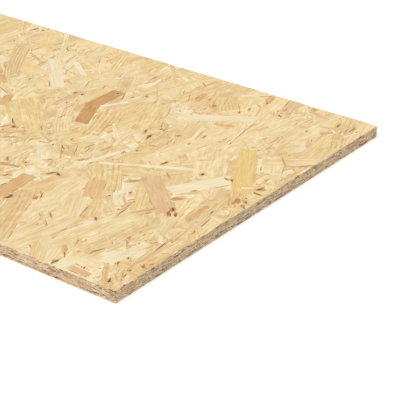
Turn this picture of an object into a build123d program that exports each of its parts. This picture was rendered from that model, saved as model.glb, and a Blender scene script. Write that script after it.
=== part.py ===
"""One oriented strand board (OSB) panel: a flat pressed sheet with sawn edges.

The panel lies flat, as it would on a floor or on joists. The origin is at the middle of its
underside, +X runs along its length, +Y along its width and +Z up through its thickness.
"""

import os

from build123d import *

# Driving dimensions, in millimetres
panel_length = 1200.0
panel_width = 600.0
panel_thickness = 18.0
corner_radius = 1.5  # plan corners, knocked a little round in handling
arris_break = 0.4  # wear along the sawn edges of both faces

# The panel is pressed and sawn as one piece
with BuildPart() as osb_panel:
    # Plan outline left by the trimming saw
    with BuildSketch(Plane.XY) as sawn_outline:
        Rectangle(panel_length, panel_width)
        fillet(sawn_outline.vertices(), corner_radius)
    extrude(amount=panel_thickness)
    # The saw leaves sharp arrises on the top and underside, which soon break
    pressed_faces = osb_panel.faces().filter_by(Axis.Z)
    chamfer(pressed_faces.edges(), arris_break)

osb_panel.part.label = "osb_panel"

os.makedirs("parts", exist_ok=True)
export_step(osb_panel.part, "parts/osb_panel.step")
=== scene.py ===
"""The looks of one oriented strand board panel: pressed strands on its faces, sawn strand ends on its edges.

The panel is made as the three layers of such a board, each a closed solid. Every face of a layer is
a sheet: a rectangle cut into the parts of its strands that show, each at its own small depth, with
steps between them. Lengths are millimetres until a mesh is made, which is in metres.
"""

import math
from dataclasses import dataclass

import bpy
import numpy as np
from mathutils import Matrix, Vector
from mathutils.geometry import delaunay_2d_cdt


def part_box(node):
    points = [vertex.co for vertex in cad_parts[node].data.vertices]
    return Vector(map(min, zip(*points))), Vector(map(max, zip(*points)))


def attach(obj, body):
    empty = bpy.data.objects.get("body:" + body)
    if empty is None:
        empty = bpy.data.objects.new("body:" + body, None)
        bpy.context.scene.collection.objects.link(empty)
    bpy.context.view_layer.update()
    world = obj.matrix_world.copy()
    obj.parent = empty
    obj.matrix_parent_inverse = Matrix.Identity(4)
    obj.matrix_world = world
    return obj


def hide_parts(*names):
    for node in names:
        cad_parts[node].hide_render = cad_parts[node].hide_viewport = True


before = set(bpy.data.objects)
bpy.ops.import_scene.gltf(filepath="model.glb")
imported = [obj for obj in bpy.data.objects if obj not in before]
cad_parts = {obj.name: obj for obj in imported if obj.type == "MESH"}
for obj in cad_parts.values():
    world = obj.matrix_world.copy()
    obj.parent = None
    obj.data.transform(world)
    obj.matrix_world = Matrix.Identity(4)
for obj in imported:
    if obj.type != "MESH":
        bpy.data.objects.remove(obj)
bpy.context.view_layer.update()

MM = 0.001
NODE = "osb_panel"
low_corner, high_corner = (np.array(corner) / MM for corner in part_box(NODE))
LENGTH, WIDTH, THICKNESS = high_corner - low_corner

# How the sheets meet at the panel's edges
FACE_INSET = 0.5  # of the top and underside, where the arrises are worn
RIM_DROP = 0.8  # from a face down to where the sawn edge's own strands start
CORNER_INSET = 1.2  # of the sawn edges, at the knocked upright corners
CAP_INSET = 2.0  # of the flat hidden faces where two layers meet
FACE_LAYER = 3.5  # thickness of the upper and the lower layer

# Strands on the faces
TOP_DEPTH = 0.05  # of the highest strand
UPPER_DEPTH = 0.15  # of the lowest strand that lies above the loose bits
FACE_DEPTH = 0.62  # of the lowest strand that shows
PIT_DEPTH = 1.3  # of the dark gaps and bark flecks
GAP_DEPTH = 0.72  # where no strand covers
SEAM_DEPTH, SEAM_LENGTHS, SEAM_WIDTHS = 0.3, (7, 45), (1.0, 2.8)  # of the dark gaps under a strand's side, whose dark tone is painted shade along its edge and partly bark and resin stain
SEAMS, CRUMB_SEAMS = 1.4, 1.7  # of those gaps, on average, to a strand and to a broken bit
END_DEPTH, END_LENGTHS, END_WIDTHS = 0.5, (4, 11), (1.2, 3.6)  # of the dark gaps at a strand's ends, whose dark tone is painted shade in the voids there
END_GAPS = 0.45  # of those, on average, to a strand
CELL = 3.0  # of the grid that tells when a face is covered
FULL = 0.994  # the share of that grid which strands cover
LEAST_NEW = 12  # cells that a strand must add to be worth laying
STRAND_HEADING = 105.0  # degrees from +X, the way most strands run
STRAND_SPREAD, SPLINTER_SPREAD, LOOSE_SPREAD = 27.0, 30.0, 40.0  # degrees, loose for flecks and broken bits
ASTRAY = 0.1  # the share of strands that lie any way
OVERHANG = 40  # past a face's edge, as far as a strand's middle can lie
SLIVERS, SLIVER_WIDTHS, SLIVER_LENGTHS = 0.6, (3, 14), (25, 110)  # the share of strands, and their sizes
WIDTHS, USUAL_WIDTH = (12, 62), (3.25, 0.4)  # of other strands: limits, and the logarithm's mean and spread
LENGTHS, USUAL_LENGTH = (60, 210), (130, 32)  # limits, and mean and spread
SLIVER = 17.0  # the width under which a strand can run to a narrow end
SLIVER_END, STRAND_END = 0.35, 0.84  # the narrowest ends, as a share of the width
TOOTH, MOST_TEETH = 3.5, 7  # of a broken end: half the strand's width to a tooth
END_SLANT, END_JAG = 20.0, 12.0  # of a broken end: usual degrees, and a limit for the teeth
TILT = 0.12  # the most by which a strand lies deeper on one side than on the other
SHADING, FLECK_SHADING = 0.04, 0.15  # how far a strand and a fleck stray from their tone

# Strand ends on the sawn edges
EDGE_ROW = 1.15  # thickness of a pressed strand
EDGE_DEPTH = 0.3
EDGE_GAP_DEPTH = 0.8
CUT_ACROSS = 5.5  # usual length of a strand sawn across
CUT_ALONG = 8.0  # usual length of a strand sawn at a slant to its run
CUT_SPREAD, CUT_LENGTHS = 0.55, (4, 60)  # of the lengths: their logarithm's spread, and limits
# The outline of a cut strand, as shares of its length and thickness
CUT_SHAPE = np.array(((-0.5, 0), (-0.2, -0.5), (0.25, -0.45), (0.5, 0.05), (0.22, 0.5), (-0.25, 0.45)))

WELD = 0.005  # points closer than this are one
CLEAR = 0.04  # that strands' corners keep from the cuts through a sheet
rng = np.random.default_rng(34)  # all that is random is drawn from this, in one order


def linear(red, green, blue):
    """A colour as seen on screen, 0 to 255, as the shader takes it."""
    shares = np.array((red, green, blue)) / 255
    return np.where(shares > 0.04045, ((shares + 0.055) / 1.055) ** 2.4, shares / 12.92)


def palette(**colours):
    """Named colours, as the shader takes them."""
    return {name: linear(*colour) for name, colour in colours.items()}


# dark is painted shade: the tone of the voids and gaps between strands
FACE_TONES = palette(
    cream=(243, 229, 193), pale=(239, 217, 169), honey=(233, 206, 149), yellow=(234, 202, 130),
    straw=(230, 203, 152), tan=(229, 197, 145), pink=(228, 189, 136), rose=(228, 192, 149),
    apricot=(221, 179, 125), brown=(204, 154, 99), knot=(200, 152, 101), bark=(176, 127, 80),
    dark=(132, 94, 56),
)
GENERAL_TONE = (*linear(237, 214, 165), 1.0)  # that the strands' own tones fade into here and there
# How often each tone turns up among strands that aren't listed
COMMON_TONES = dict(
    cream=17, pale=36, honey=22, straw=10, tan=8, pink=3, rose=2, apricot=2, yellow=2, brown=0.4,
)
# The same near the seen corner, where the strong tones are placed one by one
QUIET_TONES = dict(cream=16, pale=40, honey=24, straw=16, tan=4)
CRUMB_TONES = dict(cream=22, pale=28, honey=22, tan=20, rose=5, brown=3)

# The last, gap, is painted shade: the dark in the slots between cut strands.
EDGE_TONES = palette(
    light=(235, 210, 174), mid=(221, 193, 155), grey=(208, 184, 152), ochre=(211, 173, 124),
    brown=(196, 159, 120), dark=(154, 121, 89), gap=(122, 93, 67),
)
COMMON_EDGE_TONES = dict(light=34, mid=32, grey=16, ochre=9, brown=8, dark=5)

# Strands that catch the eye near the seen corner, the uppermost first: tone, start and end, width,
# growth rings. A place is the distance from that corner along the short edge and along the long one.
MARKED_STRANDS = (
    ("brown", (341, 357), (402, 386), 25, 0.1), ("brown", (396, 387), (463, 386), 25, 0.1),
    ("cream", (313, 41), (323, 27), 7, 0), ("yellow", (300, 32), (416, 103), 28, 0.1),
    ("cream", (404, 73), (364, 50), 6, 0), ("pink", (346, 43), (369, 41), 12, 0),
    ("pink", (166, 186), (212, 212), 26, 0.1), ("rose", (195, 77), (266, 162), 31, 0.3),
    ("apricot", (96, 291), (166, 297), 27, 0.2), ("tan", (2, 200), (132, 266), 26, 0.9),
    ("cream", (213, 272), (312, 240), 16, 0), ("cream", (254, 246), (322, 120), 13, 0),
    ("cream", (246, 113), (328, 64), 27, 0.1), ("cream", (448, 246), (512, 152), 22, 0.4),
    ("cream", (565, 226), (604, 184), 9, 0), ("cream", (402, 374), (440, 350), 10, 0),
    ("pale", (306, 352), (324, 364), 12, 0), ("cream", (404, 193), (437, 201), 8, 0),
    ("rose", (398, 186), (439, 195), 3, 0), ("apricot", (457, 196), (468, 168), 8, 0),
    ("rose", (364, 433), (432, 432), 13, 0.3), ("apricot", (238, 440), (266, 402), 16, 0.1),
    ("brown", (169, 358), (175, 327), 9, 0), ("rose", (573, 70), (582, 104), 11, 0),
    ("rose", (556, 135), (604, 150), 18, 0), ("apricot", (570, 180), (592, 186), 13, 0),
    ("apricot", (508, 268), (540, 276), 14, 0.2), ("tan", (262, 12), (302, 36), 22, 0.6),
    ("apricot", (316, 496), (350, 514), 14, 0), ("cream", (516, 157), (418, 139), 6, 0),
    ("apricot", (526, 54), (539, 41), 9, 0), ("rose", (164, 118), (198, 94), 5, 0),
    ("tan", (96, 211), (69, 177), 7, 0.3), ("tan", (-2, 16), (46, 53), 13, 0.3),
    ("tan", (-4, 4), (18, 9), 11, 0),
)

# Larger strands there that lie under the loose bits, in the same form
MARKED_GROUND = (
    ("pale", (242, 84), (140, 46), 18, 0.1), ("cream", (44, 50), (116, 46), 17, 0),
    ("pale", (31, 53), (36, 98), 28, 0), ("apricot", (20, 79), (46, 106), 6, 0),
    ("rose", (9, 50), (10, 84), 12, 0), ("tan", (2, 12), (50, 40), 24, 0.2),
    ("tan", (52, 14), (152, 9), 22, 0.2), ("apricot", (33, 110), (46, 126), 14, 0),
    ("honey", (70, 72), (164, 60), 16, 0.5), ("pale", (38, 130), (168, 106), 42, 0.4),
    ("straw", (46, 90), (152, 82), 32, 0.4), ("tan", (124, 146), (180, 176), 26, 0.2),
    ("tan", (165, 110), (200, 92), 16, 0.2), ("honey", (318, 312), (404, 346), 42, 0.9),
    ("pale", (296, 362), (388, 424), 26, 0.8), ("pale", (392, 122), (568, 116), 56, 0.2),
    ("pale", (296, 192), (452, 168), 42, 0.2), ("honey", (252, 372), (352, 488), 58, 0.1),
    ("honey", (195, 185), (268, 240), 45, 0.7), ("honey", (258, 246), (286, 188), 24, 0.4),
    ("pale", (60, 215), (204, 232), 40, 0.2), ("pale", (-5, 190), (115, 172), 50, 0.2),
    ("pale", (306, 94), (404, 150), 54, 0.2), ("tan", (550, 258), (576, 224), 22, 0),
    ("tan", (474, 222), (560, 255), 26, 0.4), ("tan", (328, 222), (407, 229), 32, 0.6),
    ("apricot", (194, 40), (242, 45), 15, 0.6), ("tan", (246, 58), (280, 34), 10, 0.2),
    ("straw", (172, 30), (300, 50), 34, 0.3), ("pale", (393, 68), (446, -4), 23, 0.3),
    ("pale", (332, 12), (420, 62), 36, 0.2), ("straw", (400, 78), (472, 62), 26, 0.2),
    ("straw", (590, 49), (495, 9), 22, 0.8), ("honey", (440, 18), (604, 44), 34, 0.4),
    ("pale", (452, 72), (604, 56), 30, 0.2), ("honey", (376, 262), (460, 304), 44, 0.3),
    ("straw", (140, 52), (214, 100), 30, 0.3),
)
NEATNESS = 0.35  # of the marked strands' ends, as a share of how ragged ends usually are
CLEAR_TONES = ("brown", "yellow", "cream", "apricot", "pink", "rose")  # of the upper ones that stand out
CLEAR_FADE, SOFT_FADE = 0.08, 0.4  # how far those fade here and there, and the other marked strands
FADES = (0.05, 0.55)  # the same for strands that aren't marked

# Bark flecks, small knots and dark gaps there, a gap's dark tone being painted shade: tone, place, length,
# width, turn from the short edge
MARKED_FLECKS = (
    ("dark", (102, 274), 18, 8, -10), ("knot", (122, 245), 14, 7, 15), ("bark", (131, 242), 22, 2.5, 35),
    ("bark", (186, 279), 16, 7, -40), ("dark", (192, 268), 16, 6, 70), ("bark", (96, 193), 14, 2, 55),
    ("bark", (126, 141), 9, 5, 40), ("bark", (158, 125), 24, 2, 10), ("dark", (210, 151), 6, 4, 0),
    ("dark", (12, 106), 12, 6, 0), ("bark", (29, 108), 12, 1.8, 35), ("dark", (20, 67), 7, 4, 20),
    ("dark", (14, 22), 9, 5, 40), ("bark", (35, 15), 12, 2.5, 15), ("dark", (50, 18), 8, 3.5, 15),
    ("bark", (66, 11), 9, 5, 60), ("knot", (76, 6), 8, 4, -20), ("bark", (55, 42), 7, 4, 30),
    ("bark", (71, 39), 7, 4, 20), ("bark", (64, 82), 30, 3, -20), ("bark", (118, 25), 34, 2, 6),
    ("bark", (240, 404), 34, 2.5, -57), ("dark", (137, 26), 9, 5, -20), ("dark", (232, 30), 11, 3.5, 10),
    ("bark", (172, 15), 14, 2, 5), ("dark", (207, 76), 14, 7, 45), ("bark", (194, 73), 20, 5, 35),
    ("dark", (198, 64), 14, 5, 15), ("knot", (234, 91), 20, 11, -30), ("bark", (266, 87), 9, 4, -20),
    ("dark", (310, 172), 13, 5, 0), ("dark", (314, 107), 9, 7, 0), ("dark", (364, 245), 18, 7, 8),
    ("bark", (376, 261), 14, 4, 30), ("bark", (381, 184), 7, 3, 15), ("bark", (324, 65), 9, 6, 40),
    ("knot", (322, 73), 9, 3, 70), ("bark", (312, 12), 16, 6, 82), ("bark", (325, 18), 16, 6, -42),
    ("knot", (280, 23), 22, 12, 30), ("bark", (283, 12), 12, 6, 60), ("knot", (272, 8), 12, 8, 20),
    ("dark", (526, 256), 7, 2.5, 25), ("bark", (532, 186), 9, 3, 25), ("bark", (540, 134), 8, 6, 60),
    ("bark", (565, 141), 9, 4, -15), ("knot", (591, 107), 12, 7, 60), ("bark", (564, 46), 16, 2.5, 10),
    ("knot", (567, 22), 14, 6, 15), ("bark", (422, 10), 34, 2.5, -42), ("knot", (468, 146), 60, 1.5, 10),
    ("bark", (424, 138), 18, 2, 10), ("knot", (181, 104), 30, 1.5, -35), ("knot", (414, 40), 30, 1.3, 45),
    ("bark", (269, 427), 11, 8, 50), ("bark", (281, 440), 26, 3, 45), ("bark", (186, 359), 13, 4, 35),
    ("bark", (146, 324), 16, 3, -25), ("dark", (192, 329), 6, 4, 0), ("dark", (419, 438), 7, 6, 0),
    ("dark", (420, 425), 7, 5, 0), ("dark", (457, 384), 12, 4, 15), ("bark", (262, 322), 24, 3, 60),
    ("bark", (218, 309), 14, 3, -50), ("bark", (475, 340), 8, 6, 30), ("bark", (392, 213), 9, 6, -40),
    ("knot", (344, 220), 14, 4, -60), ("knot", (301, 241), 8, 3, 10), ("bark", (396, 247), 9, 6, 10),
    ("bark", (246, 192), 8, 2.5, -60), ("knot", (240, 171), 24, 4, -40), ("bark", (284, 146), 14, 2, 50),
    ("knot", (352, 132), 20, 1.8, -50), ("knot", (247, 272), 12, 4, -30), ("knot", (508, 236), 16, 6, 30),
    ("knot", (413, 180), 9, 3, 5), ("bark", (515, 192), 8, 3, 20),
)
SEEN_REACH = 560.0  # from the seen corner's end, as far as the marked strands and flecks go
FLECKS, SPLINTERS, CRUMB_PATCHES = 160, 260, 60  # to a square metre, where they lie at random
BORDER = 8  # that those flecks and splinters keep from a face's edge
FLECK_LENGTHS, FLECK_WIDTHS, FLECK_SIDES = (5, 20), (1.8, 5.5), 7
SPLINTER_LENGTHS, SPLINTER_WIDTHS, SPLINTER_DEPTHS = (6, 26), (1.0, 2.4), (0.1, 0.6)
CRUMBS, PATCH_REACHES = 11, (15, 40)  # bits in a patch, and how far they scatter
CRUMB_HALVES, CRUMB_WIDTHS, CRUMB_DEPTHS = (4, 16), (2.5, 9), (0.08, 0.4)  # half lengths first
# Patches of small broken bits near the seen corner: place and reach
MARKED_CRUMBS = (
    ((190, 320), 40), ((255, 330), 45), ((230, 295), 35), ((22, 22), 30), ((170, 148), 30),
    ((560, 115), 34), ((245, 395), 25), ((330, 300), 25), ((345, 225), 40), ((300, 165), 25),
    ((550, 30), 30),
)


@dataclass
class Strand:
    """One strand on a sheet: its outline there, its place and turn, how deep it lies and its look."""

    outline: np.ndarray
    centre: np.ndarray
    turn: float
    depth: float
    tone: np.ndarray
    seed: float
    slope: tuple = (0, 0)
    rings: float = 0.0
    fade: float = 0.0
    size: tuple = ()

    def depth_at(self, place):
        return max(0.0, self.depth + float((place - self.centre) @ self.slope))


@dataclass
class Sheet:
    """A rectangle on the panel's surface, with the strands that show on it, the uppermost first."""

    origin: np.ndarray
    along: np.ndarray
    up: np.ndarray
    size: tuple
    strands: list
    ground: Strand

    def place(self, point, depth):
        outward = np.cross(self.along, self.up)
        return self.origin + point[0] * self.along + point[1] * self.up - depth * outward


def ahead(turn):
    """A step of 1 in a direction, and one to the left of it."""
    x, y = math.cos(turn), math.sin(turn)
    return np.array((x, y)), np.array((-y, x))


def turned(points, centre, turn):
    """Points about zero, turned by an angle and set about a centre."""
    return np.asarray(points) @ np.array(ahead(turn)) + centre


def heading(spread):
    """A direction near the one in which most strands run."""
    return math.radians(rng.normal(STRAND_HEADING, spread))


def broken_end(reach, half_width, ragged):
    """Points across one end of a strand, cut or broken across the grain."""
    teeth = int(np.clip(half_width / TOOTH * rng.uniform(0.4, 1.2), 1, MOST_TEETH))
    across = np.linspace(-1, 1, teeth + 2)
    across[1:-1] += rng.uniform(-0.5, 0.5, teeth) / (teeth + 2)
    slant = math.tan(math.radians(rng.normal(0, END_SLANT * ragged))) * half_width
    jag = min(END_JAG, 2 * half_width, reach / 3) * rng.uniform(0.05, 0.6) * ragged
    along = reach + slant * across + jag * rng.uniform(-1, 1, teeth + 2)
    return np.stack((along, across * half_width), 1)


def wavy_side(start, end, give, bends):
    """One or two points between the ends of a strand's side, a little off the straight line."""
    shares = np.array((rng.uniform(0.25, 0.4), rng.uniform(0.6, 0.75)))[:, None]
    points = start + (end - start) * shares
    points[:, 1] += rng.normal(0, give, 2)
    return points[:bends]


def strand_outline(length, width, ragged):
    """A split flake of wood about zero, with its length along the first axis."""
    narrowest, bends = (SLIVER_END, 1) if width < SLIVER else (STRAND_END, 2)
    taper = rng.uniform(narrowest, 1.0, 2)
    far = broken_end(length / 2, width / 2 * taper[0], ragged)
    near = -broken_end(length / 2, width / 2 * taper[1], ragged)
    give = min(0.8, 0.04 * width)
    upper = wavy_side(far[-1], near[0], give, bends)
    lower = wavy_side(near[-1], far[0], give, bends)
    return np.vstack((far, upper, near, lower))


def strand_at(start, end, width, tone, rings, fade, ragged=1.0):
    """A strand laid between two points of a sheet."""
    start, end = np.array(start, float), np.array(end, float)
    run = end - start
    length = math.hypot(*run)
    turn = math.atan2(run[1], run[0])
    centre = (start + end) / 2
    slope = ahead(turn)[1] * rng.uniform(-TILT, TILT) / width
    outline = turned(strand_outline(length, width, ragged), centre, turn)
    shade = tone * (1 + SHADING * ragged * rng.uniform(-1, 1))
    return Strand(outline, centre, turn, 0.0, shade, rng.random(), slope, rings, fade, (length, width))


def fleck_at(place, length, width, turn, tone, depth):
    """A small pit with pointed ends: a bark fleck, a knot or a gap between strands."""
    around = np.linspace(0, 2 * math.pi, FLECK_SIDES + 1)[:-1]
    ring = np.stack((np.cos(around) * length / 2, np.sin(around) * width / 2), 1)
    ring *= rng.uniform(0.6, 1.3, FLECK_SIDES)[:, None]
    centre = np.array(place, float)
    shade = tone * rng.uniform(1 - FLECK_SHADING, 1 + FLECK_SHADING)
    return Strand(turned(ring, centre, turn), centre, turn, depth, shade, rng.random())


def fleck_group(place, length, width, turn, tone):
    """A bark fleck, a small knot or a dark gap: a dark pit, broken fibres beside it and stained wood around
    them. A gap's dark tone is painted shade.
    """
    along, across = ahead(turn)
    parts = [fleck_at(place, length * 0.9, width * 0.7, turn, tone, PIT_DEPTH)]
    for _ in range(3):
        spot = place + along * rng.normal(0, 0.28) * length + across * rng.normal(0, 0.4) * width
        run, breadth = length * rng.uniform(0.4, 0.9), width * rng.uniform(0.3, 0.6)
        near_tone = FACE_TONES[rng.choice(("bark", "knot", "brown"))]
        depth = rng.uniform(SEAM_DEPTH, PIT_DEPTH)
        parts.append(fleck_at(spot, run, breadth, turn + rng.normal(0, 0.25), near_tone, depth))
    parts.append(fleck_at(place, length * 1.6, width + 3, turn, FACE_TONES["tan"], SEAM_DEPTH))
    return parts


def bits_around(strand, seams):
    """Dark gaps along a strand's sides and at its ends, half of each under the strand. Their dark tones are
    painted shade of the step and the void there, along the sides partly bark and resin stain too.
    """
    own = turned(strand.outline - strand.centre, np.zeros(2), -strand.turn)
    length, width = np.ptp(own, axis=0)
    bits = []

    def add(along, across, run, breadth, tones, depth):
        place = turned(((along, across),), strand.centre, strand.turn)[0]
        turn = strand.turn + rng.normal(0, 0.05)
        tone = FACE_TONES[rng.choice(tones)]
        bits.append(fleck_at(place, run, breadth, turn, tone, strand.depth + depth))

    for _ in range(rng.poisson(seams)):
        run = min(length * 0.7, rng.uniform(*SEAM_LENGTHS))
        along = (length - run) * rng.uniform(-0.5, 0.5)
        across = rng.choice((-1, 1)) * (width / 2 - 0.4)
        breadth = rng.uniform(*SEAM_WIDTHS)
        # a dark sliver beside the side: painted shade under the strand's edge, partly bark and resin stain
        add(along, across, run, breadth, ("bark", "knot", "brown", "brown", "tan"), SEAM_DEPTH)
    for _ in range(rng.poisson(END_GAPS)):
        along = rng.choice((-1, 1)) * length * rng.uniform(0.47, 0.5)
        across = width * rng.uniform(-0.45, 0.45)
        run, breadth = rng.uniform(*END_LENGTHS), rng.uniform(*END_WIDTHS)
        # a dark spot at an end: painted shade in the void there
        add(along, across, run, breadth, ("dark", "bark", "knot", "brown"), END_DEPTH)
    return bits


def pick(tones, weights):
    """One of the tones, as often as its weight says."""
    odds = np.array(list(weights.values()), float)
    return tones[list(weights)[rng.choice(len(odds), p=odds / odds.sum())]]


def add_cover(covered, strand):
    """Mark the cells under a strand if enough of them are free. Returns whether they are."""
    lowest = np.maximum((strand.outline.min(0) / CELL).astype(int), 0)
    highest = np.minimum((strand.outline.max(0) / CELL).astype(int) + 1, covered.shape)
    if (highest <= lowest).any():
        return False
    column, row = np.meshgrid(*(np.arange(a, b) for a, b in zip(lowest, highest)), indexing="ij")
    offset = (np.stack((column, row), -1) + 0.5) * CELL - strand.centre
    along, across = (np.abs(offset @ axis) for axis in ahead(strand.turn))
    under = (along < strand.size[0] / 2) & (across < strand.size[1] / 2)
    window = covered[lowest[0]:highest[0], lowest[1]:highest[1]]
    worth = (under & ~window).sum() >= LEAST_NEW
    if worth:
        window |= under
    return worth


def random_strand(size, quiet_from):
    """A strand anywhere on a face. Past a reach its tone is a quiet one."""
    if rng.random() < SLIVERS:
        width, length = rng.uniform(*SLIVER_WIDTHS), rng.uniform(*SLIVER_LENGTHS)
    else:
        width = float(np.clip(rng.lognormal(*USUAL_WIDTH), *WIDTHS))
        length = float(np.clip(rng.normal(*USUAL_LENGTH), *LENGTHS))
    turn = heading(STRAND_SPREAD)
    if rng.random() < ASTRAY:
        turn = rng.uniform(0, math.pi)
    centre = rng.uniform(-OVERHANG, np.add(size, OVERHANG))
    half_run = ahead(turn)[0] * length / 2
    tone = pick(FACE_TONES, QUIET_TONES if centre[0] > quiet_from else COMMON_TONES)
    rings = rng.random() ** 3
    return strand_at(centre - half_run, centre + half_run, width, tone, rings, rng.uniform(*FADES))


def laid_between(strands, high, low):
    """Strands laid one under the other between two depths, each with the dark gaps around it."""
    laid = []
    for order, strand in enumerate(strands):
        strand.depth = high + (low - high) * (order / len(strands)) ** 0.7
        laid += [strand, *bits_around(strand, SEAMS)]
    return laid


def face_strands(size, upper, loose, lower, quiet_from):
    """All that shows on a face, from the top: upper strands, loose bits, lower strands and more below."""
    covered = np.zeros((int(size[0] / CELL), int(size[1] / CELL)), bool)
    for strand in upper + lower:
        add_cover(covered, strand)
    under = list(lower)
    while covered.mean() < FULL:
        strand = random_strand(size, quiet_from)
        if add_cover(covered, strand):
            under.append(strand)
    top = laid_between(upper, TOP_DEPTH, UPPER_DEPTH)
    return top + loose + laid_between(under, UPPER_DEPTH, FACE_DEPTH)


def places_on(rate, size, border=0):
    """So many places to a square metre, anywhere on a face, one after the other."""
    for _ in range(int(rate * size[0] * size[1] * MM * MM)):
        yield rng.uniform(border, np.subtract(size, border))


def random_flecks(size):
    """Flecks all over a face, or over the first part of it."""
    flecks = []
    for place in places_on(FLECKS, size, BORDER):
        # a dark fleck is a void between strands, its dark tone painted shade
        tone = FACE_TONES[rng.choice(("bark", "bark", "dark", "knot"))]
        turn = heading(LOOSE_SPREAD)
        length, width = rng.uniform(*FLECK_LENGTHS), rng.uniform(*FLECK_WIDTHS)
        flecks += fleck_group(place, length, width, turn, tone)
    return flecks


def random_splinters(size):
    """Thin broken fibres and small dark crumbs all over a face."""
    splinters = []
    for place in places_on(SPLINTERS, size, BORDER):
        turn = heading(SPLINTER_SPREAD)
        tone = FACE_TONES[rng.choice(("brown", "brown", "knot", "bark", "cream"))]
        length, width = rng.uniform(*SPLINTER_LENGTHS), rng.uniform(*SPLINTER_WIDTHS)
        splinters.append(fleck_at(place, length, width, turn, tone, rng.uniform(*SPLINTER_DEPTHS)))
    return splinters


def crumbs(place, reach):
    """A patch of small broken bits of strand."""
    bits = []
    for _ in range(CRUMBS):
        spot = np.array(place) + rng.normal(0, reach / 2, 2)
        half_run = ahead(heading(LOOSE_SPREAD))[0] * rng.uniform(*CRUMB_HALVES)
        tone = pick(FACE_TONES, CRUMB_TONES)
        bit = strand_at(spot - half_run, spot + half_run, rng.uniform(*CRUMB_WIDTHS), tone, 0.0, 0.5)
        bit.depth = rng.uniform(*CRUMB_DEPTHS)
        bits.append(bit)
        if rng.random() < 0.5:
            bits += bits_around(bit, CRUMB_SEAMS)
    return bits


def random_crumbs(size):
    """Patches of broken bits all over a face."""
    places = places_on(CRUMB_PATCHES, size)
    return [bit for place in places for bit in crumbs(place, rng.uniform(*PATCH_REACHES))]


def seen_face(size):
    """Flecks and strands of the top, as they lie near the seen corner, and at random elsewhere."""
    seen_from = size[0] - SEEN_REACH

    def from_corner(place):
        return np.array((size[0] + FACE_INSET - place[1], place[0] - FACE_INSET))

    def marked(strands, clear_tones):
        made = []
        for tone, start, end, width, rings in strands:
            ends = from_corner(start), from_corner(end)
            fade = CLEAR_FADE if tone in clear_tones else SOFT_FADE
            made.append(strand_at(*ends, width, FACE_TONES[tone], rings, fade, NEATNESS))
        return made

    flecks = []
    for tone, place, length, width, turn in MARKED_FLECKS:
        turn = math.radians(90 + turn)
        flecks += fleck_group(from_corner(place), length, width, turn, FACE_TONES[tone])
    loose = random_flecks((seen_from, size[1]))
    for place, reach in MARKED_CRUMBS:
        loose += crumbs(from_corner(place), reach)
    loose += random_splinters(size) + random_crumbs(size)
    upper, lower = marked(MARKED_STRANDS, CLEAR_TONES), marked(MARKED_GROUND, ())
    return flecks + face_strands(size, upper, loose, lower, seen_from)


def hidden_face(size):
    """Flecks and strands of the underside, all at random."""
    loose = random_flecks(size) + random_splinters(size) + random_crumbs(size)
    return face_strands(size, [], loose, [], size[0])


def edge_strands(size, usual_length):
    """Cut strands on a sawn edge, thin lenses in rows, in a random order."""
    lenses = []
    rows = round(size[1] / EDGE_ROW)
    for row in range(rows):
        height = (row + 0.5) * size[1] / rows
        reach = -rng.uniform(0, 20)
        while reach < size[0]:
            length = float(np.clip(usual_length * rng.lognormal(0, CUT_SPREAD), *CUT_LENGTHS))
            thick = EDGE_ROW * rng.uniform(0.8, 1.7)
            place = np.array((reach + length / 2, height + rng.normal(0, 0.25)))
            outline = turned(CUT_SHAPE * (length, thick), place, math.radians(rng.normal(0, 1.5)))
            tone = pick(EDGE_TONES, COMMON_EDGE_TONES) * rng.uniform(0.9, 1.1)
            depth = rng.uniform(0, EDGE_DEPTH)
            lenses.append(Strand(outline, place, 0.0, depth, tone, rng.random()))
            reach += length * rng.uniform(0.7, 0.95)
    return [lenses[index] for index in rng.permutation(len(lenses))]


def plain_ground(tone, depth):
    """What shows where no strand covers a sheet."""
    return Strand(np.zeros((0, 2)), np.zeros(2), math.pi / 2, depth, tone, 0.5)


def triangulate(points, edges):
    """Triangles over the points that keep to the edges, which may cross."""
    places = [Vector(point) for point in points]
    found = delaunay_2d_cdt(places, edges.tolist(), [], 0, WELD, False)
    return np.array([place[:] for place in found[0]]), np.array(found[2])


def holds(outline, points):
    """Which points lie inside an outline."""
    x, y = points.T[:, :, None]
    (start_x, start_y), (end_x, end_y) = outline.T, np.roll(outline, -1, axis=0).T
    crosses = (start_y > y) != (end_y > y)
    rise = np.where(end_y == start_y, 1.0, end_y - start_y)
    beside = x < start_x + (y - start_y) * (end_x - start_x) / rise
    return (crosses & beside).sum(1) % 2 == 1


def uppermost(points, strands):
    """For each point the first strand that holds it, or -1."""
    found = np.full(len(points), -1)
    order = np.argsort(points[:, 0])
    reach, height = points[order].T
    for index, strand in enumerate(strands):
        lowest, highest = strand.outline.min(0), strand.outline.max(0)
        window = slice(*np.searchsorted(reach, (lowest[0], highest[0])))
        level = height[window]
        near = order[window][(level > lowest[1]) & (level < highest[1])]
        near = near[found[near] < 0]
        if len(near):
            found[near[holds(strand.outline, points[near])]] = index
    return found


def edge_pairs(triangles):
    """All triangle edges, the pairs of them that meet, and those that have no other side."""
    ends = triangles[:, (0, 1, 1, 2, 2, 0)].reshape(-1, 2)
    key = np.sort(ends, axis=1) @ (int(triangles.max()) + 1, 1)
    order = np.argsort(key, kind="stable")
    meets = key[order][1:] == key[order][:-1]
    first, second = order[:-1][meets], order[1:][meets]
    alone = np.ones(len(ends), bool)
    alone[first] = alone[second] = False
    return ends, first, second, np.flatnonzero(alone)


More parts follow.
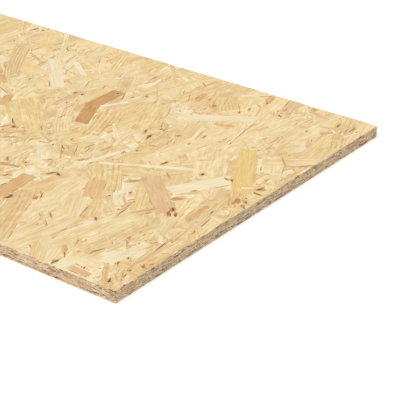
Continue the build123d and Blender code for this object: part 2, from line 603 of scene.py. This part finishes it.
def straightened(points, edges):
    """The edges with the points left out that only divide a straight line."""
    links = {}
    for start, end in edges.tolist():
        links.setdefault(start, set()).add(end)
        links.setdefault(end, set()).add(start)
    for point, others in list(links.items()):
        if len(others) != 2:
            continue
        one, two = others
        before, after = points[point] - points[one], points[two] - points[point]
        bend = abs(before[0] * after[1] - before[1] * after[0])
        if bend < WELD * math.hypot(*(before + after)) and before @ after > 0 and two not in links[one]:
            links[one].remove(point)
            links[two].remove(point)
            links[one].add(two)
            links[two].add(one)
            links[point] = set()
    return np.array([(start, end) for start in links for end in links[start] if start < end])


def clear_of_cuts(outline, size):
    """An outline with no point so near a sheet's rim or middle line that the two would merge."""
    outline = np.where(np.abs(outline) < CLEAR, -2 * CLEAR, outline)
    outline = np.where(np.abs(outline - size) < CLEAR, np.add(size, 2 * CLEAR), outline)
    middle = size[0] / 2
    outline[:, 0] = np.where(np.abs(outline[:, 0] - middle) < CLEAR, middle + 2 * CLEAR, outline[:, 0])
    return outline


def within(points, triangles, size):
    """The triangles inside a rectangle, without hair-thin ones that lie along its rim."""
    corners = points[triangles]
    middles = corners.mean(1)
    inside = ((middles > 0) & (middles < size)).all(1)
    on_low = (corners < WELD).all(1).any(1)
    on_high = (corners > np.array(size) - WELD).all(1).any(1)
    return triangles[inside & ~on_low & ~on_high]


def visible_parts(strands, size):
    """Cut a rectangle along every strand edge that shows, and at half its length.

    Returns the points, the triangles, and the strand that each triangle shows.
    """
    for strand in strands:
        strand.outline = clear_of_cuts(strand.outline, size)
    half = size[0] / 2
    loops = [np.array(((0, 0), (size[0], 0), size, (0, size[1])), float)]
    loops += [strand.outline for strand in strands]
    middle = np.array(((half, 0), (half, size[1])))
    starts = np.cumsum([0] + [len(loop) for loop in loops])
    edges = []
    for loop, start in zip(loops, starts):
        order = np.arange(len(loop))
        edges.append(np.stack((order, np.roll(order, -1)), 1) + start)
    edges.append(np.array(((starts[-1], starts[-1] + 1),)))
    points, triangles = triangulate(np.vstack((*loops, middle)), np.vstack(edges))

    def regions():
        centres = points[triangles].mean(1)
        owner = uppermost(centres, strands)
        return owner, owner * 2 + (centres[:, 0] > half)

    triangles = within(points, triangles, size)
    _, region = regions()
    ends, first, second, alone = edge_pairs(triangles)
    border = first[region[first // 3] != region[second // 3]]
    edges = straightened(points, ends[np.concatenate((border, alone))])
    used, edges = np.unique(edges, return_inverse=True)
    points, triangles = triangulate(points[used], edges.reshape(-1, 2))
    triangles = within(points, triangles, size)
    return points, triangles, regions()[0]


class Shell:
    """A closed surface, gathered face by face, with each face's look: a sheet and the strand on it.

    A face's chart is the sheet with which it lies on the bake map.
    """

    def __init__(self):
        self.points = []
        self.faces = []
        self.looks = []
        self.charts = []

    def add_point(self, place):
        self.points.append(place)
        return len(self.points) - 1

    def add_face(self, corners, look, chart=None):
        if len(set(corners)) > 2:
            self.faces.append(corners)
            self.looks.append(look)
            self.charts.append(chart or look[0])

    def add_sheet(self, sheet):
        """Add a sheet's strands and steps. Returns its four rims, each point with its look."""
        points, triangles, owners = visible_parts(sheet.strands, sheet.size)
        looks = [(sheet, strand) for strand in (*sheet.strands, sheet.ground)]  # the ground's is number -1
        numbers, depths, levels = {}, {}, {}

        def column(point, start, end):
            """The surface points over one place, from one strand's level to another's."""
            order = [owner for _, owner in sorted(levels[point])]
            low, high = order.index(start), order.index(end)
            step = 1 if high >= low else -1
            return [numbers[point, order[level]] for level in range(low, high + step, step)]

        for triangle, owner in zip(triangles.tolist(), owners.tolist()):
            for point in triangle:
                if (point, owner) not in numbers:
                    depth = looks[owner][1].depth_at(points[point])
                    depths[point, owner] = depth
                    numbers[point, owner] = self.add_point(sheet.place(points[point], depth))
                    levels.setdefault(point, []).append((depth, owner))
            self.add_face([numbers[point, owner] for point in triangle], looks[owner])

        # Steps between strands
        ends, first, second, alone = edge_pairs(triangles)
        for here, there in zip(first.tolist(), second.tolist()):
            left, right = int(owners[here // 3]), int(owners[there // 3])
            if left != right:
                start, end = ends[here].tolist()
                higher = min(left, right, key=lambda owner: depths[start, owner])
                self.add_face(column(end, right, left) + column(start, left, right), looks[higher])

        # The rims, from corner to corner
        following = {}
        for index in alone.tolist():
            following[int(ends[index][0])] = (int(ends[index][1]), int(owners[index // 3]))
        owner_before = {end: owner for end, owner in following.values()}
        length, width = sheet.size
        corners = []
        for place in ((0, 0), (length, 0), (length, width), (0, width)):
            corners.append(min(following, key=lambda point: math.dist(points[point], place)))
        rims = []
        for point, last in zip(corners, corners[1:] + corners[:1]):
            owner = owner_before[point]
            rim = [(numbers[point, owner], looks[owner])]
            while point != last:
                end, next_owner = following[point]
                steps = column(point, owner, next_owner)[1:]
                rim += [(number, looks[next_owner]) for number in (*steps, numbers[end, next_owner])]
                point, owner = end, next_owner
            rims.append(rim)
        return rims

    def zip_rims(self, one, two, chart):
        """Close the strip between two rims that run opposite ways, with the looks of the first."""
        two = two[::-1]
        direction = self.points[one[-1][0]] - self.points[one[0][0]]
        reach_one, reach_two = (
            [float(self.points[number] @ direction) for number, _ in rim] for rim in (one, two))
        i = j = 0
        while i + 1 < len(one) or j + 1 < len(two):
            if j + 1 == len(two) or (i + 1 < len(one) and reach_one[i + 1] <= reach_two[j + 1]):
                self.add_face([one[i + 1][0], one[i][0], two[j][0]], one[i][1], chart)
                i += 1
            else:
                self.add_face([two[j][0], two[j + 1][0], one[i][0]], one[i][1], chart)
                j += 1

    def close_corners(self, all_rims):
        """Close the small triangle at each corner of a block, where three sheets come together."""
        firsts = [rim[0] for rims in all_rims for rim in rims]
        middle = np.mean([self.points[number] for number, _ in firsts], axis=0)
        corners = {}
        for number, look in firsts:
            corners.setdefault(tuple(self.points[number] > middle), []).append((number, look))
        for (one, _), (two, _), (three, look) in corners.values():
            a, b, c = (self.points[number] for number in (one, two, three))
            if np.cross(b - a, c - a) @ (a - middle) < 0:
                two, three = three, two
            self.add_face([one, two, three], look)


AXES = np.eye(3)
SIDE_AXES = ((-AXES[1], AXES[0]), (AXES[0], AXES[1]), (AXES[1], -AXES[0]), (-AXES[0], -AXES[1]))


def side_sheets(bottom, top, lengths):
    """The four sawn edges of a layer between two heights, in order round the panel.

    The lengths are those of a strand as it is usually cut on the long edges and on the short ones.
    """
    sheets = []
    # The slots between the cut strands, painted dark as their shade
    ground = plain_ground(EDGE_TONES["gap"], EDGE_GAP_DEPTH)
    reach = np.array((LENGTH / 2, WIDTH / 2, 0))
    for side, (outward, along) in enumerate(SIDE_AXES):
        run = float(abs(along) @ reach)
        origin = outward * reach - along * (run - CORNER_INSET) + AXES[2] * bottom
        size = (2 * (run - CORNER_INSET), top - bottom)
        strands = edge_strands(size, lengths[side % 2])
        sheets.append(Sheet(origin, along, AXES[2], size, strands, ground))
    return sheets


def level_sheet(height, facing, inset, make_strands):
    """A sheet that faces up (1) or down (-1) at a height."""
    size = (LENGTH - 2 * inset, WIDTH - 2 * inset)
    up = AXES[1] * facing
    origin = -AXES[0] * size[0] / 2 - up * size[1] / 2 + AXES[2] * height
    ground = plain_ground(FACE_TONES["rose"], GAP_DEPTH)
    strands = make_strands(size)
    if not strands:
        ground = plain_ground(FACE_TONES["tan"], 0.0)
    return Sheet(origin, AXES[0], up, size, strands, ground)


def close_block(top, under, sides):
    """One closed shell from six sheets."""
    shell = Shell()
    top_rims, under_rims = shell.add_sheet(top), shell.add_sheet(under)
    side_rims = [shell.add_sheet(side) for side in sides]
    for k, side in enumerate(sides):
        shell.zip_rims(top_rims[k], side_rims[k][2], side)
        shell.zip_rims(under_rims[(2, 1, 0, 3)[k]], side_rims[k][0], side)
        shell.zip_rims(side_rims[k][1], side_rims[(k + 1) % 4][3], side)
    shell.close_corners([top_rims, under_rims, *side_rims])
    return shell


def add_object(name, data):
    """A new object in the scene."""
    made = bpy.data.objects.new(name, data)
    bpy.context.scene.collection.objects.link(made)
    return made


def make_piece(name, shell, materials, big, sides):
    """Turn a shell into a piece in metres, with its strands' looks for the shader."""
    mesh = bpy.data.meshes.new(name)
    places = np.array(shell.points)
    mesh.from_pydata((places * MM).tolist(), [], shell.faces)
    corner_points = np.concatenate([np.array(face) for face in shell.faces])
    face_of = np.repeat(np.arange(len(shell.faces)), [len(face) for face in shell.faces])
    sheets, strands = zip(*shell.looks)

    tones = np.array([strand.tone for strand in strands])
    marks = np.array([(strand.seed, strand.rings, strand.fade) for strand in strands])
    for label, values in (("strand_tone", tones), ("strand_marks", marks)):
        layer = mesh.attributes.new(label, "FLOAT_COLOR", "FACE")
        layer.data.foreach_set("color", np.column_stack((values, np.ones(len(values)))).ravel())

    def at_corners(owners, key):
        return np.array([getattr(owner, key) for owner in owners])[face_of]

    offset = places[corner_points] - at_corners(sheets, "origin")
    flat = np.stack([(offset * at_corners(sheets, key)).sum(1) for key in ("along", "up")], 1)
    x, y = (flat - at_corners(strands, "centre")).T
    turns = at_corners(strands, "turn")
    cosine, sine = np.cos(turns), np.sin(turns)
    grain = np.stack((x * cosine + y * sine, y * cosine - x * sine), 1)
    mesh.uv_layers.new(name="strand_grain").data.foreach_set("uv", grain.ravel())

    spots = bake_map(shell, places, corner_points, face_of, big, sides)
    mesh.uv_layers.new(name="OFBake").data.foreach_set("uv", spots.ravel())

    for material in materials:
        mesh.materials.append(material)
    is_side = {id(side) for side in sides}
    mesh.polygons.foreach_set("material_index", [int(id(sheet) in is_side) for sheet in sheets])
    mesh.update()
    piece = add_object(name, mesh)
    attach(piece, "root")
    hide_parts(NODE)


def bake_map(shell, places, corner_points, face_of, big, sides):
    """Where each face corner lies on the piece's bake map.

    Each sheet that shows lies there in rows half the panel long. The hidden ones share a thin strip.
    """
    gap, hidden_height, big_height = 0.004, 0.03, 0.44
    side_rows = sum(round(side.size[0] / WIDTH) for side in sides)
    spare = 1 - hidden_height - gap - (2 * (big_height + gap) if big else 0.0)
    side_height = spare / side_rows - gap
    shown = [(side, side_height, RIM_DROP) for side in sides]
    if big:
        shown.append((big, big_height, 0.0))

    spot = np.zeros((len(corner_points), 2))
    charts = np.array([id(chart) for chart in shell.charts])
    row = hidden_height + gap
    for sheet, height, margin in shown:
        picked = np.flatnonzero(charts[face_of] == id(sheet))
        offset = places[corner_points[picked]] - sheet.origin
        along, up = offset @ sheet.along, offset @ sheet.up + margin
        parts = round(sheet.size[0] / WIDTH)
        run = sheet.size[0] / parts
        # A face belongs to the row that holds its middle
        sums = np.bincount(face_of[picked], along, len(charts))
        counts = np.bincount(face_of[picked], minlength=len(charts))
        middles = sums / np.maximum(counts, 1)
        part = np.clip((middles[face_of[picked]] // run).astype(int), 0, parts - 1)
        spot[picked, 0] = np.clip(gap + (1 - 2 * gap) * (along - part * run) / run, 0, 1)
        level = np.clip(up / (sheet.size[1] + 2 * margin), 0, 1)
        spot[picked, 1] = row + part * (height + gap) + height * level
        row += parts * (height + gap)
    hidden = np.flatnonzero(~np.isin(charts[face_of], [id(sheet) for sheet, _, _ in shown]))
    place = places[corner_points[hidden]]
    spot[hidden, 0] = place[:, 0] / LENGTH + 0.5
    spot[hidden, 1] = hidden_height * (place[:, 1] / WIDTH + 0.5)
    return spot


class Nodes:
    """A short way to lay out the nodes of a material or a world."""

    def __init__(self, owner):
        owner.use_nodes = True
        self.owner = owner
        self.tree = owner.node_tree
        kinds = "BSDF_PRINCIPLED", "BACKGROUND"
        self.shader = next(node for node in self.tree.nodes if node.type in kinds)

    def put(self, socket, value):
        """Link a socket to a value, or set it."""
        if isinstance(value, bpy.types.NodeSocket):
            self.tree.links.new(value, socket)
        else:
            socket.default_value = value

    def node(self, kind, *values, **settings):
        """A node with these settings, and these values on its first sockets."""
        made = self.tree.nodes.new(kind)
        for key, value in settings.items():
            setattr(made, key, value)
        for socket, value in zip(made.inputs, values):
            self.put(socket, value)
        return made

    def fill(self, node, **values):
        """Put values on a node's named sockets, with _ for a space. Returns what the node makes."""
        for name, value in values.items():
            self.put(node.inputs[name.replace("_", " ")], value)
        return node.outputs[0]

    def math(self, operation, one, two=0.0, three=0.0, clamp=False):
        return self.node("ShaderNodeMath", one, two, three, operation=operation, use_clamp=clamp).outputs[0]

    def noise(self, place, detail, roughness=0.55, scale=1.0):
        made = self.node("ShaderNodeTexNoise", noise_dimensions="3D")
        return self.fill(made, Vector=place, Scale=scale, Detail=detail, Roughness=roughness)

    def spread(self, value, low, high, to_low=0.0, to_high=1.0):
        return self.node("ShaderNodeMapRange", value, low, high, to_low, to_high).outputs[0]

    def blend(self, share, one, two, how="MIX"):
        made = self.node("ShaderNodeMix", data_type="RGBA", blend_type=how)
        for name, value in (("Factor_Float", share), ("A_Color", one), ("B_Color", two)):
            self.put(next(s for s in made.inputs if s.identifier == name), value)
        return next(s for s in made.outputs if s.identifier == "Result_Color")

    def scaled(self, colour, share):
        return self.fill(self.node("ShaderNodeVectorMath", colour, operation="SCALE"), Scale=share)

    def bump(self, strength, depth, height):
        """Relief in the shading alone, its depth in millimetres."""
        made = self.node("ShaderNodeBump")
        return self.fill(made, Strength=strength, Distance=depth * MM, Height=height)

    def looked_at(self):
        """1 on the camera's rays, also by way of gloss or glass, and 0 on the rest."""
        rays = self.node("ShaderNodeLightPath").outputs
        seen = self.math("MAXIMUM", rays["Is Camera Ray"], rays["Is Glossy Ray"])
        return self.math("MAXIMUM", seen, rays["Is Transmission Ray"])

    def tone(self):
        """The strand's own colour."""
        return self.node("ShaderNodeAttribute", attribute_name="strand_tone").outputs["Color"]

    def grain(self):
        """The strand's own numbers, and the place along and across its grain."""
        marks = self.node("ShaderNodeAttribute", attribute_name="strand_marks").outputs["Vector"]
        place = self.node("ShaderNodeUVMap", uv_map="strand_grain").outputs[0]
        numbers, spot = (self.node("ShaderNodeSeparateXYZ", value).outputs for value in (marks, place))
        return numbers, spot[0], spot[1]


NOISE_RANGE = 0.25, 0.75  # in which nearly all of a noise lies
RING_TINT = (0.86, 0.72, 0.53, 1.0)
LATE_WOOD_TINT = (0.90, 0.80, 0.66, 1.0)


def pressed_wood():
    """Split wood pressed flat: fine fibres along each strand, growth rings on some, and soft blotches."""
    n = Nodes(bpy.data.materials.new("pressed_wood"))
    tone = n.tone()
    (seed, rings, fade), along, across = n.grain()
    layer = n.math("MULTIPLY", seed, 400.0)  # each strand has its own place in the noise

    def grain(along_scale, across_scale, detail, roughness=0.55):
        x, y = n.math("MULTIPLY", along, along_scale), n.math("MULTIPLY", across, across_scale)
        place = n.node("ShaderNodeCombineXYZ", x, y, layer).outputs[0]
        return n.noise(place, detail, roughness)

    streaked = n.math("FRACT", n.math("MULTIPLY", seed, 37.0))
    fibre = grain(0.03, 0.8, 3.0)
    line = grain(0.012, 0.38, 2.0)
    band = grain(0.008, 0.1, 2.0)
    blotch = grain(0.03, 0.06, 2.0)
    mottle = grain(0.07, 0.15, 4.0, 0.65)
    cloud = n.noise(n.node("ShaderNodeTexCoord").outputs["Object"], 2.0, scale=28.0)
    colour = n.blend(n.math("MULTIPLY", fade, n.spread(cloud, 0.36, 0.64)), tone, GENERAL_TONE)

    # Growth rings bow along the strand and wander a little
    bow = n.math("MULTIPLY", n.math("MULTIPLY", along, along), n.math("MULTIPLY_ADD", seed, 0.003, -0.0015))
    phase = n.math("ADD", n.math("ADD", across, bow), n.math("MULTIPLY", blotch, 5.0))
    ring = n.math("SINE", n.math("MULTIPLY", phase, n.math("MULTIPLY_ADD", seed, 0.6, 0.8)))
    ring = n.math("POWER", n.spread(ring, -1.0, 1.0), 4.0)
    ring_share = n.math("MULTIPLY", n.math("MULTIPLY", ring, rings), 0.9)
    colour = n.blend(ring_share, colour, n.blend(1.0, colour, RING_TINT, "MULTIPLY"))
    # Late wood shows as warmer lines and bands
    lines = n.math("MULTIPLY", n.spread(line, 0.5, 0.7, 0.0, 0.8), streaked)
    warm = n.math("ADD", lines, n.spread(band, 0.45, 0.7, 0.0, 0.4), clamp=True)
    colour = n.blend(warm, colour, n.blend(1.0, colour, LATE_WOOD_TINT, "MULTIPLY"))

    uneven = n.spread(mottle, *NOISE_RANGE, -1.0, 1.0)
    uneven = n.math("ADD", uneven, n.spread(band, *NOISE_RANGE, -0.5, 0.55))
    uneven = n.math("ADD", uneven, n.spread(blotch, *NOISE_RANGE, -0.5, 0.5))
    # A strand whose tone fades little is an even one
    uneven = n.math("MULTIPLY", uneven, n.spread(fade, 0.0, 0.5, 0.04, 0.18))
    light = n.math("ADD", n.spread(fibre, *NOISE_RANGE, -0.16, 0.14), uneven)
    # Where the grain is darker it is warmer too
    deep = n.node("ShaderNodeGamma", colour, n.math("MULTIPLY_ADD", light, -1.3, 1.0)).outputs[0]
    n.fill(
        n.shader,
        Base_Color=n.scaled(deep, n.math("MULTIPLY_ADD", light, 0.5, 1.0)),
        Roughness=n.spread(fibre, 0.2, 0.8, 0.55, 0.75),
        Specular_IOR_Level=0.3,
        Normal=n.bump(0.4, 0.25, n.math("ADD", fibre, n.math("MULTIPLY", ring_share, 0.8))),
    )
    return n.owner


def sawn_wood():
    """Strands cut by the saw: fuzzy fibre ends, duller than the faces."""
    n = Nodes(bpy.data.materials.new("sawn_wood"))
    spot = n.node("ShaderNodeTexCoord").outputs["Object"]
    speck = n.noise(spot, 3.0, 0.65, scale=420.0)
    soot = n.noise(spot, 2.0, scale=110.0)
    light = n.math("ADD", n.spread(speck, 0.28, 0.72, -0.23, 0.19), n.spread(soot, 0.3, 0.7, -0.05, 0.05))
    colour = n.scaled(n.tone(), n.math("ADD", light, 1.0))
    relief = n.bump(0.6, 0.3, speck)
    n.fill(n.shader, Base_Color=colour, Roughness=0.85, Specular_IOR_Level=0.25, Normal=relief)
    return n.owner


def build_panel():
    """The panel's three layers. The strands of the middle one lie across those of the other two."""
    materials = pressed_wood(), sawn_wood()
    low, high = FACE_LAYER, THICKNESS - FACE_LAYER
    face_lengths, core_lengths = (CUT_ACROSS, CUT_ALONG), (CUT_ALONG, CUT_ACROSS)

    def cap(height, facing):
        return level_sheet(height, facing, CAP_INSET, lambda size: [])

    top = level_sheet(THICKNESS, 1, FACE_INSET, seen_face)
    sides = side_sheets(high, THICKNESS - RIM_DROP, face_lengths)
    make_piece("upper_strands", close_block(top, cap(high, -1), sides), materials, top, sides)

    sides = side_sheets(low, high, core_lengths)
    make_piece("core_strands", close_block(cap(high, 1), cap(low, -1), sides), materials, None, sides)

    under = level_sheet(0.0, -1, FACE_INSET, hidden_face)
    sides = side_sheets(RIM_DROP, low, face_lengths)
    make_piece("lower_strands", close_block(cap(low, 1), under, sides), materials, under, sides)


# Studio
FLOOR_SIZE = 60.0
FLOOR_TONE = (0.8, 0.8, 0.8, 1)
WHITE = (1, 1, 1, 1)
FLOOR_GLOW = 0.25  # that lifts the lit floor to white
FLOOR_GAP = 0.0002  # under the panel
AMBIENT = 0.6
SUN_STRENGTH = 1.55
SUN_ANGLE = 35.0
SUN_HEIGHT = 58.0
SUN_HEADING = 12.0  # degrees from -Y towards +X that the light comes from

# Camera, fitted to the panel's outlines in the photo
CAMERA_PLACE = (1.6254, -1.4665, 0.9506)
CAMERA_DIP = 27.56
CAMERA_HEADING = 37.55
CAMERA_LENS = 135.0
SENSOR = 36.0


def build_floor():
    """A pale floor that reads as white to the camera and keeps the panel's shadow."""
    half = FLOOR_SIZE / 2
    mesh = bpy.data.meshes.new("floor")
    corners = [(-half, -half, 0), (half, -half, 0), (half, half, 0), (-half, half, 0)]
    mesh.from_pydata(corners, [], [(0, 1, 2, 3)])
    floor = add_object("floor", mesh)
    n = Nodes(bpy.data.materials.new("floor_white"))
    glow = n.math("MULTIPLY", n.looked_at(), FLOOR_GLOW)
    n.fill(n.shader, Base_Color=FLOOR_TONE, Roughness=0.9, Specular_IOR_Level=0.0)
    n.fill(n.shader, Emission_Color=WHITE, Emission_Strength=glow)
    mesh.materials.append(n.owner)
    floor.location.z = -FLOOR_GAP


def build_light():
    """Even light from all round, and a broad soft lamp from the left."""
    n = Nodes(bpy.data.worlds.new("studio"))
    n.fill(n.shader, Color=WHITE, Strength=n.math("MULTIPLY_ADD", n.looked_at(), 1 - AMBIENT, AMBIENT))
    bpy.context.scene.world = n.owner
    lamp = bpy.data.lights.new("key", "SUN")
    lamp.energy = SUN_STRENGTH
    lamp.angle = math.radians(SUN_ANGLE)
    key = add_object("key", lamp)
    key.rotation_euler = (math.radians(90 - SUN_HEIGHT), 0, math.radians(SUN_HEADING))


def build_camera():
    """The photo's view of the panel."""
    data = bpy.data.cameras.new("camera")
    data.sensor_width = SENSOR
    data.lens = CAMERA_LENS
    camera = add_object("camera", data)
    camera.location = CAMERA_PLACE
    camera.rotation_euler = (math.radians(90 - CAMERA_DIP), 0, math.radians(CAMERA_HEADING))
    bpy.context.scene.camera = camera


build_panel()
build_floor()
build_light()
build_camera()
bpy.context.scene.view_settings.view_transform = "Standard"
